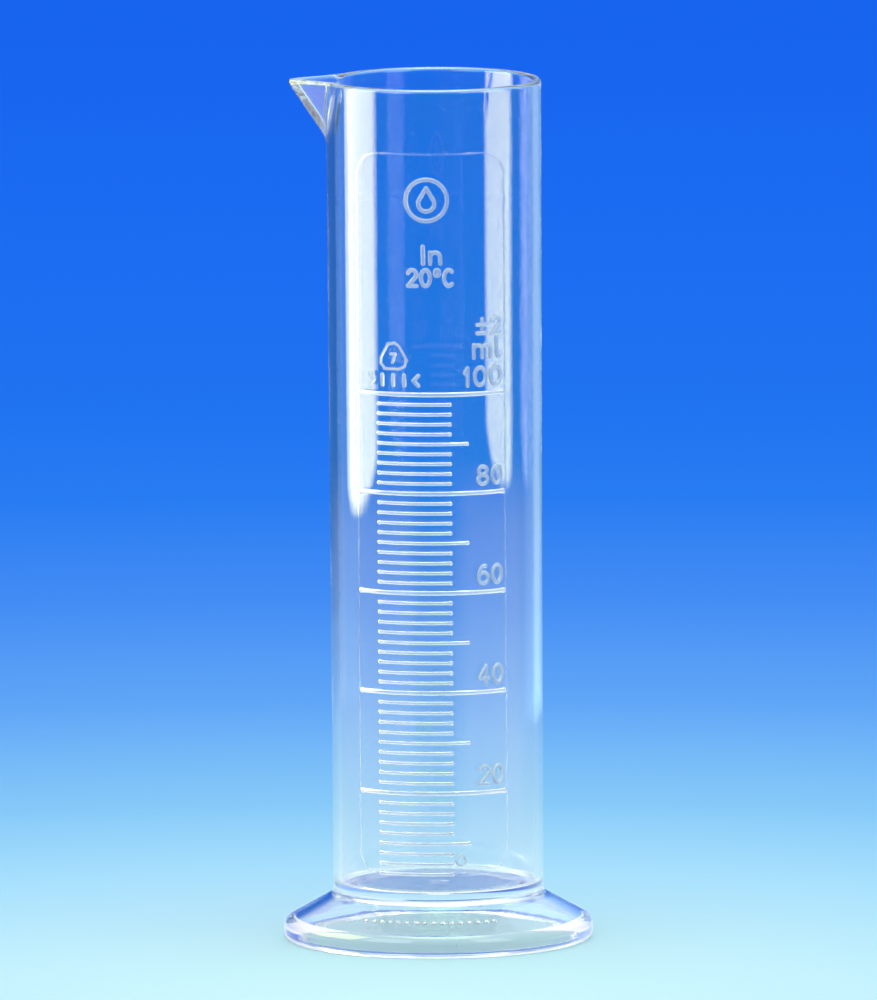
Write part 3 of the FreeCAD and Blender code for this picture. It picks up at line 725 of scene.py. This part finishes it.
class Nodes:
    """A short way to lay out a material's nodes."""

    def __init__(self, name):
        self.material = bpy.data.materials.new(name)
        self.material.use_nodes = True
        self.tree = self.material.node_tree
        self.shader = self.tree.nodes["Principled BSDF"]
        self.coords = self.add("ShaderNodeTexCoord").outputs["Object"]

    def add(self, kind, inputs=None, **settings):
        node = self.tree.nodes.new(kind)
        for key, value in settings.items():
            setattr(node, key, value)
        for key, value in (inputs or {}).items():
            feed(self.tree, node.inputs[key], value)
        return node

    def noise(self, size, detail=3.0, stretch=(1, 1, 1)):
        """Noise whose features are about size millimetres across."""
        placed = self.add("ShaderNodeMapping", {"Vector": self.coords, "Scale": stretch})
        inputs = {"Vector": placed.outputs[0], "Scale": 1 / (size * MM), "Detail": detail}
        return self.add("ShaderNodeTexNoise", inputs).outputs["Fac"]

    def pits(self, spacing, radius, rarity):
        """0 in small round pits and 1 elsewhere; the higher the rarity, the fewer cells hold one."""
        inputs = {"Vector": self.coords, "Scale": 1 / (spacing * MM)}
        cells = self.add("ShaderNodeTexVoronoi", inputs)
        shape = self.remap(cells.outputs["Distance"], 0.4 * radius / spacing, radius / spacing, 0.0, 1.0)
        colour = self.add("ShaderNodeSeparateColor", {0: cells.outputs["Color"]})
        chosen = self.maths("GREATER_THAN", colour.outputs[0], rarity)
        clump = self.maths("GREATER_THAN", self.noise(22, detail=1.0), 0.5)
        absent = self.maths("SUBTRACT", 1.0, self.maths("MULTIPLY", chosen, clump))
        return self.maths("MAXIMUM", shape, absent)

    def remap(self, value, low, high, to_low, to_high):
        inputs = {"Value": value, "From Min": low, "From Max": high, "To Min": to_low, "To Max": to_high}
        return self.add("ShaderNodeMapRange", inputs).outputs["Result"]

    def maths(self, operation, a, b):
        return self.add("ShaderNodeMath", {0: a, 1: b}, operation=operation).outputs[0]

    def bump(self, height, distance, strength=1.0, under=None):
        inputs = {"Height": height, "Distance": distance * MM, "Strength": strength}
        if under is not None:
            inputs["Normal"] = under
        return self.add("ShaderNodeBump", inputs).outputs["Normal"]

    def into(self, **sockets):
        for name, value in sockets.items():
            feed(self.tree, self.shader.inputs[name.replace("_", " ")], value)


def clear_plastic():
    """Clear styrene plastic: nearly colourless, faintly wavy from the mould, with hairline scratches."""
    n = Nodes("clear_plastic")
    colour = mixed(n.tree, n.noise(18, detail=2.0), *CLEAR_TONES)
    smear = n.remap(n.noise(5, detail=4.0), 0.45, 0.75, 0.006, 0.03)
    scratch = n.remap(n.noise(0.5, detail=2.0, stretch=(1, 1, 0.05)), 0.68, 0.78, 0.0, 0.08)
    rough = n.maths("ADD", smear, scratch)
    wave = n.bump(n.noise(9, detail=1.0), 0.02)
    streaks = n.bump(n.noise(1.4, detail=2.0, stretch=(1, 1, 0.03)), 0.003, under=wave)
    grain = n.bump(n.noise(0.7, detail=2.0), 0.0012, under=streaks)
    specks = n.bump(n.pits(2.6, 0.13, 0.62), 0.05, under=grain)
    n.into(Base_Color=colour, Roughness=rough, Normal=specks, IOR=STYRENE_INDEX,
           Transmission_Weight=0.998)
    return n.material


def panel_line():
    """The witness line of the scale's mould insert, hardly raised at all, so it only just catches light."""
    n = Nodes("panel_line")
    rough = n.remap(n.noise(2.0, detail=3.0), 0.35, 0.7, 0.01, 0.05)
    n.into(Base_Color=(0.97, 0.98, 0.985, 1), Roughness=rough, IOR=STYRENE_INDEX,
           Transmission_Weight=0.99, Alpha=0.22)
    return n.material


def joint_face():
    """Where two regions of the one moulding meet there is no surface, so light passes straight on."""
    n = Nodes("moulding_joint")
    n.into(Alpha=0.0, Roughness=1.0)
    return n.material


def raised_marks():
    """The same plastic where it is raised, a little more matt from the engraved mould."""
    n = Nodes("raised_marks")
    colour = mixed(n.tree, n.noise(3, detail=2.0), *MARK_TONES)
    rough = n.remap(n.noise(0.6, detail=3.0), 0.35, 0.7, 0.10, 0.20)
    grain = n.bump(n.noise(0.25, detail=2.0), 0.004)
    n.into(Base_Color=colour, Roughness=rough, Normal=grain, IOR=STYRENE_INDEX,
           Transmission_Weight=0.72)
    return n.material


# ---------------------------------------------------------------- floor, light and camera

def linear(red, green, blue):
    """A display colour, 0 to 255, as the linear colour that shows as it."""
    return tuple(c / 12.92 if c <= 0.04045 else ((c + 0.055) / 1.055) ** 2.4
                 for c in (red / 255, green / 255, blue / 255)) + (1.0,)


DEEP_BLUE = linear(23, 100, 238)
FADE_CENTRE = (0.0, -0.10)
# distance from the middle of the fade in metres, and the colour there
FADE = ((0.02, linear(210, 251, 254)), (0.10, linear(198, 242, 254)), (0.19, linear(169, 225, 253)),
        (0.28, linear(135, 202, 247)), (0.42, linear(97, 168, 246)), (0.58, linear(67, 142, 244)),
        (0.74, linear(41, 126, 242)), (0.91, linear(32, 116, 241)), (1.29, linear(27, 107, 242)),
        (1.64, DEEP_BLUE))
# painted reflections: the colours the floor glows with for light that the object's own gloss mirrors, by
# distance from the object: ahead and to the sides a painted lit white table top with a darker room past it,
# and behind the backdrop, painted dimmer further off
DARK_ROOM_IN_REFLECTIONS = (0.01, 0.30, 0.42, 1)
PAINTED_REFLECTION_AHEAD = ((0.10, (0.90, 0.95, 1.10, 1)), (0.26, (0.62, 0.76, 0.95, 1)),
                  (0.40, (0.40, 0.54, 0.62, 1)), (0.53, (0.18, 0.34, 0.42, 1)), (0.62, DARK_ROOM_IN_REFLECTIONS))
PAINTED_REFLECTION_ASIDE = ((0.10, (1.10, 1.10, 1.20, 1)), (0.30, (0.95, 1.05, 1.10, 1)),
                  (0.46, (0.66, 0.78, 0.80, 1)), (0.60, (0.52, 0.62, 0.60, 1)), (0.72, DARK_ROOM_IN_REFLECTIONS))
PAINTED_REFLECTION_BACK_DIM = ((0.30, (1.12, 1.06, 1, 1)), (0.62, (0.58, 0.58, 0.58, 1)))
MIRRORED_DEEPER = (0.62, 0.76, 0.95, 1)  # the room for light mirrored more than once in the plastic, which the floor paints as a reflection and the world gives as its light
# where one gives way to the next, by the share of the direction that is sideways or backward
ASIDE_FROM, ASIDE_TO = 0.30, 0.62
BEHIND_FROM, BEHIND_TO, BEHIND_SHARE = 0.2, 0.75, 0.85
FADE_END = 2.0
FLOOR_SHADED = 0.62                  # share of the floor's brightness that is light falling on it; the rest is painted glow, the floor's own emission
SHADED_TO, UNSHADED_FROM = 0.25, 1.2  # metres from the object


def colour_ramp(tree, stops, value, end):
    """A ramp node through (distance, colour) stops, for a value that runs from 0 to end."""
    ramp = tree.nodes.new("ShaderNodeValToRGB")
    elements = ramp.color_ramp.elements
    elements.remove(elements[1])
    for i, (distance, colour) in enumerate(stops):
        stop = elements.new(distance / end) if i else elements[0]
        stop.position, stop.color = distance / end, colour
    scaled_value = tree.nodes.new("ShaderNodeMath")
    scaled_value.operation = "DIVIDE"
    tree.links.new(value, scaled_value.inputs[0])
    scaled_value.inputs[1].default_value = end
    tree.links.new(scaled_value.outputs[0], ramp.inputs[0])
    return ramp.outputs[0]


def bounced(tree, kind, times=1):
    """1 for light that has met surfaces of that kind so many times on its way to the eye, or else 0."""
    path = tree.nodes.new("ShaderNodeLightPath")
    more = tree.nodes.new("ShaderNodeMath")
    more.operation = "GREATER_THAN"
    more.inputs[1].default_value = times - 0.5
    tree.links.new(path.outputs[kind], more.inputs[0])
    return more.outputs[0]


BLACK, WHITE = (0, 0, 0, 1), (1, 1, 1, 1)


def stage_piece(name, points, faces):
    """A mesh of the stage, with its points in metres."""
    mesh = bpy.data.meshes.new(name)
    mesh.from_pydata(points, [], faces)
    piece = bpy.data.objects.new(name, mesh)
    bpy.context.scene.collection.objects.link(piece)
    return piece


def floor():
    """A wide pale sheet that shades off into blue with distance. It glows with that colour, a painted glow
    in place of light falling on it, wholly so far off, and light that the object's gloss mirrors sees
    painted reflections on it instead.
    """
    around, reach = 96, (0.3, 1.0, 2.0, 4.0)
    angles = [2 * math.pi * i / around for i in range(around)]
    points, faces = [(0.0, 0.0, 0.0)], []
    for radius in reach:
        points += [(radius * math.cos(a), radius * math.sin(a), 0) for a in angles]
    for i in range(around):
        j = (i + 1) % around
        faces.append((0, 1 + i, 1 + j))
        for k in range(len(reach) - 1):
            a, b = 1 + k * around, 1 + (k + 1) * around
            faces.append((a + i, b + i, b + j, a + j))
    sheet = stage_piece("floor", points, faces)

    n = Nodes("floor_sheet")
    to_fade = (-FADE_CENTRE[0], -FADE_CENTRE[1], 0)
    moved = n.add("ShaderNodeMapping", {"Vector": n.coords, "Location": to_fade})
    from_fade = n.add("ShaderNodeVectorMath", {0: moved.outputs[0]}, operation="LENGTH").outputs["Value"]
    from_object = n.add("ShaderNodeVectorMath", {0: n.coords}, operation="LENGTH").outputs["Value"]
    seen = colour_ramp(n.tree, FADE, from_fade, FADE_END)
    # painted reflections: for light that the object's gloss has mirrored, the floor glows with a painted
    # table top, darker room and backdrop instead of its own colour
    ahead_of_it = colour_ramp(n.tree, PAINTED_REFLECTION_AHEAD, from_object, FADE_END)
    beside_it = colour_ramp(n.tree, PAINTED_REFLECTION_ASIDE, from_object, FADE_END)
    dim = colour_ramp(n.tree, PAINTED_REFLECTION_BACK_DIM, from_object, FADE_END)
    behind = n.add("ShaderNodeVectorMath", {0: seen, 1: dim}, operation="MULTIPLY").outputs["Vector"]
    outward = n.add("ShaderNodeVectorMath", {0: n.coords}, operation="NORMALIZE").outputs["Vector"]
    parts = n.add("ShaderNodeSeparateXYZ", {0: outward}).outputs
    backward = n.remap(parts["Y"], BEHIND_FROM, BEHIND_TO, 0.0, BEHIND_SHARE)
    sideways = n.remap(n.maths("ABSOLUTE", parts["X"], 0.0), ASIDE_FROM, ASIDE_TO, 0.0, 1.0)
    in_front = mixed(n.tree, sideways, ahead_of_it, beside_it)
    in_front = mixed(n.tree, bounced(n.tree, "Glossy Depth", 2), in_front, MIRRORED_DEEPER)
    in_gloss = mixed(n.tree, backward, in_front, behind)
    mirrored = bounced(n.tree, "Glossy Depth")
    shaded = n.remap(from_object, SHADED_TO, UNSHADED_FROM, FLOOR_SHADED, 0.0)
    lit = mixed(n.tree, mirrored, mixed(n.tree, shaded, BLACK, seen), BLACK)
    # the floor's emission: painted glow in its own colour where light falling on it doesn't account for its
    # brightness, and painted reflections for light that the object's gloss has mirrored
    own = mixed(n.tree, mirrored, mixed(n.tree, shaded, seen, BLACK), in_gloss)
    n.into(Base_Color=lit, Roughness=0.9, Specular_IOR_Level=0.0, Emission_Color=own, Emission_Strength=1.0)
    sheet.data.materials.append(n.material)


# by the sine of the height above the horizon: as seen straight or bent, and as the gloss mirrors it
SKY = ((0.0, DEEP_BLUE), (0.10, (0.010, 0.11, 0.62, 1)), (0.24, (0.04, 0.18, 0.62, 1)),
       (0.42, (0.75, 0.85, 1.1, 1)), (0.90, (1.2, 1.3, 1.4, 1)))
MIRRORED_SKY = ((0.0, DARK_ROOM_IN_REFLECTIONS), (0.13, (0.15, 0.30, 0.60, 1)), (0.35, (0.5, 0.6, 0.8, 1)),
                (0.70, (1.0, 1.05, 1.4, 1)), (0.92, (1.5, 1.6, 2.2, 1)), (0.95, (4.5, 4.5, 3.8, 1)))
ROOM_LIGHT = (0.86, 0.74, 0.93, 1)    # what falls on matt surfaces from all round
BACKDROP_FROM, BACKDROP_TO = 0.1, 0.6  # the backward share of a direction where the backdrop takes over


def world():
    """The backdrop's blue behind, a lit room in front and a wide soft light overhead."""
    made = bpy.data.worlds.new("studio")
    bpy.context.scene.world = made
    made.use_nodes = True
    made.cycles.sampling_method = "NONE"
    tree = made.node_tree
    coords = tree.nodes.new("ShaderNodeTexCoord")
    split = tree.nodes.new("ShaderNodeSeparateXYZ")
    tree.links.new(coords.outputs["Generated"], split.inputs[0])
    seen = colour_ramp(tree, SKY, split.outputs["Z"], 1.0)
    in_gloss = colour_ramp(tree, MIRRORED_SKY, split.outputs["Z"], 1.0)
    backward = tree.nodes.new("ShaderNodeMapRange")
    feed(tree, backward.inputs["Value"], split.outputs["Y"])
    feed(tree, backward.inputs["From Min"], BACKDROP_FROM)
    feed(tree, backward.inputs["From Max"], BACKDROP_TO)
    in_gloss = mixed(tree, bounced(tree, "Glossy Depth", 2), in_gloss, MIRRORED_DEEPER)
    in_gloss = mixed(tree, backward.outputs["Result"], in_gloss, seen)
    sharp = mixed(tree, bounced(tree, "Glossy Depth"), seen, in_gloss)
    room = mixed(tree, bounced(tree, "Diffuse Depth"), sharp, ROOM_LIGHT)
    tree.links.new(room, tree.nodes["Background"].inputs[0])


def light_box(name, azimuth, half_angle, distance, foot, high, colour, strength):
    """A tall soft light standing round the object, seen only by way of the object's own gloss.

    Its foot is a level for each place across it, from -1 at one side to 1 at the other."""
    steps, rows, soft_side, soft_foot = 40, 12, 3.0, 3.0
    points, faces, glow_share = [], [], []
    for i in range(steps + 1):
        across = 2 * i / steps - 1
        turn = math.radians(azimuth + half_angle * across)
        edge = min(1.0, (1 - abs(across)) * half_angle / soft_side)
        levels = [foot(across), foot(across) + soft_foot]
        levels += [levels[1] + (high - levels[1]) * (k + 1) / rows for k in range(rows)]
        for k, z in enumerate(levels):
            points.append((distance * math.sin(turn) * MM, -distance * math.cos(turn) * MM, z * MM))
            glow_share.append(edge if k else 0.0)
    column = rows + 2
    for i in range(steps):
        for k in range(column - 1):
            a = i * column + k
            faces.append((a, a + 1, a + column + 1, a + column))
    panel = stage_piece(name, points, faces)
    panel.data.attributes.new("glow", "FLOAT", "POINT").data.foreach_set("value", glow_share)

    n = Nodes(name)
    share = n.add("ShaderNodeAttribute", attribute_name="glow").outputs["Fac"]
    power = n.maths("MULTIPLY", n.maths("MULTIPLY", share, strength), bounced(n.tree, "Glossy Depth"))
    whitened = mixed(n.tree, bounced(n.tree, "Glossy Depth", 2), colour, WHITE)
    glow = n.add("ShaderNodeEmission", {"Color": whitened, "Strength": power})
    clear = n.add("ShaderNodeBsdfTransparent")
    both = n.add("ShaderNodeAddShader", {0: glow.outputs[0], 1: clear.outputs[0]})
    n.tree.links.new(both.outputs[0], n.tree.nodes["Material Output"].inputs["Surface"])
    n.material.cycles.emission_sampling = "NONE"
    panel.data.materials.append(n.material)
    panel.visible_camera = False
    panel.visible_diffuse = False
    panel.visible_shadow = False


def slanted_foot(across):
    """The main light's lower edge: lowest towards its rear, sweeping up to its front."""
    lowest_at, lowest, front_rise, rear_rise = -0.6, 56, 13, 6
    if across > lowest_at:
        return lowest + front_rise * ((across - lowest_at) / (1 - lowest_at)) ** 3
    return lowest + rear_rise * ((lowest_at - across) / (1 + lowest_at)) ** 2


def level_foot(level):
    return lambda across: level


def lamp(name, place, aim, size, power, colour):
    light = bpy.data.lights.new(name, "AREA")
    light.color = colour
    light.shape, light.size, light.energy = "DISK", size, power
    lit = bpy.data.objects.new(name, light)
    bpy.context.scene.collection.objects.link(lit)
    lit.location = place
    lit.rotation_euler = (Vector(aim) - Vector(place)).to_track_quat("-Z", "Y").to_euler()
    lit.visible_camera = False


def lights():
    light_box("main_light_box", azimuth=-83.5, half_angle=22.5, distance=200, foot=slanted_foot, high=260,
              colour=(1.0, 0.96, 0.34, 1), strength=6.7)
    light_box("fill_light_box", azimuth=143, half_angle=29, distance=300, foot=level_foot(0.5), high=400,
              colour=(0.27, 0.46, 0.55, 1), strength=0.72)
    light_box("low_left_box", azimuth=-38, half_angle=20, distance=400, foot=level_foot(135), high=520,
              colour=WHITE, strength=2.2)
    light_box("low_right_box", azimuth=46, half_angle=16, distance=400, foot=level_foot(135), high=520,
              colour=WHITE, strength=2.2)
    lamp("top_light", place=(0.1, -0.2, 1.4), aim=(0, 0, 0.05), size=0.9, power=6.0,
         colour=(0.50, 1.0, 0.40))


CAMERA_DISTANCE = 4.5
CAMERA_ELEVATION = math.radians(7.41)
CAMERA_TURN = math.radians(3.1)       # round to the object's left of its scale
CAMERA_ROLL = math.radians(0.347)
CAMERA_LENS = 863.2
AIM_LEVEL = 0.08288
AIM_SIDE = 0.00045


def camera():
    data = bpy.data.cameras.new("camera")
    data.sensor_width, data.sensor_fit = 36.0, "AUTO"
    data.lens = CAMERA_LENS
    data.clip_start, data.clip_end = 0.1, 60.0
    seen_from = bpy.data.objects.new("camera", data)
    bpy.context.scene.collection.objects.link(seen_from)
    right = Vector((math.cos(CAMERA_TURN), math.sin(CAMERA_TURN), 0))
    back = Vector((math.sin(CAMERA_TURN) * math.cos(CAMERA_ELEVATION),
                   -math.cos(CAMERA_TURN) * math.cos(CAMERA_ELEVATION), math.sin(CAMERA_ELEVATION)))
    aim = right * AIM_SIDE + Vector((0, 0, AIM_LEVEL))
    seen_from.location = aim + back * CAMERA_DISTANCE
    up = back.cross(right)
    turn = Matrix((right, up, back)).transposed().to_4x4()
    roll = Matrix.Rotation(-CAMERA_ROLL, 4, "Z")
    seen_from.matrix_world = Matrix.Translation(seen_from.location) @ turn @ roll
    bpy.context.scene.camera = seen_from


def build():
    clear, joint, raised = clear_plastic(), joint_face(), raised_marks()
    upper_body([clear, joint])
    lower_body([clear, joint])
    scale([raised])
    inscriptions([raised])
    symbols([raised])
    panel_frame([panel_line()])
    foot_pips([raised])
    floor()
    world()
    lights()
    camera()
    scene = bpy.context.scene
    scene.view_settings.view_transform = "Standard"
    # light led along inside the wall turns very often before it leaves at an edge
    for limit in ("max_bounces", "transmission_bounces", "glossy_bounces", "transparent_max_bounces"):
        setattr(scene.cycles, limit, 256)


build()
